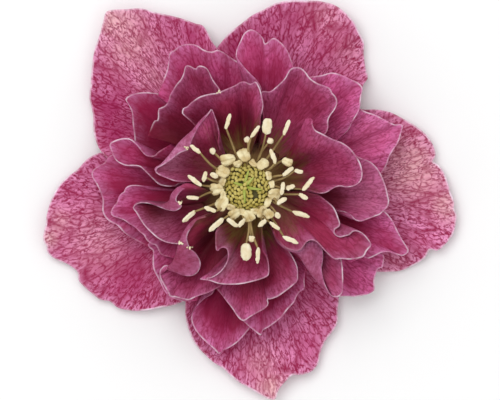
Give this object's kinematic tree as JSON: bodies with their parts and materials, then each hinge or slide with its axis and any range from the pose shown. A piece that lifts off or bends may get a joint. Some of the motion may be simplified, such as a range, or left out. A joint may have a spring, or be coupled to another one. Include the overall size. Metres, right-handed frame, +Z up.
{
  "type": "double hellebore bloom",
  "caption": "Double hellebore flower head as picked, with broad freckled sepals under ruffled petals round a ring of stamens, lying face up.",
  "frame": {"origin": "on the surface the bloom rests on, under the middle of the bloom's outline", "axes": "+Z up, out of the face of the bloom; +Y towards the upper sepals and +X towards the right sepal as the picture shows them"},
  "size_m": [0.0726, 0.0698, 0.0204],
  "materials": {
    "sepals": "matte, faintly satin",
    "outer_petals": "matte, faintly satin",
    "inner_petals": "satin",
    "receptacle": "satin",
    "stamens": "matte, powdery",
    "unopened_anthers": "satin",
    "styles": "satin"
  },
  "bodies": {
    "root": {"sepal_left": "sepals", "sepal_bottom": "sepals", "sepal_right": "sepals", "sepal_upper_right": "sepals", "sepal_upper_left": "sepals", "outer_left": "outer_petals", "outer_left_upper": "outer_petals", "outer_lower_right": "outer_petals", "outer_lower_left": "outer_petals", "outer_top_left": "outer_petals", "outer_right": "outer_petals", "outer_left_lower": "outer_petals", "outer_left_lobe": "outer_petals", "outer_left_trough": "outer_petals", "outer_top": "outer_petals", "outer_upper_right": "outer_petals", "outer_right_pointed": "outer_petals", "outer_bottom": "outer_petals", "middle_upper_left": "inner_petals", "middle_right": "inner_petals", "middle_bottom": "inner_petals", "inner_upper_right": "inner_petals", "inner_upper_left": "inner_petals", "inner_lower_right": "inner_petals", "middle_lower_right": "inner_petals", "inner_right": "inner_petals", "inner_left_folded": "inner_petals", "inner_left": "inner_petals", "inner_lower_left": "inner_petals", "inner_bottom": "inner_petals", "pedicel_receptacle": "receptacle", "stamens": "stamens", "unopened_anthers": "unopened_anthers", "styles": "styles"}
  },
  "joints": []
}
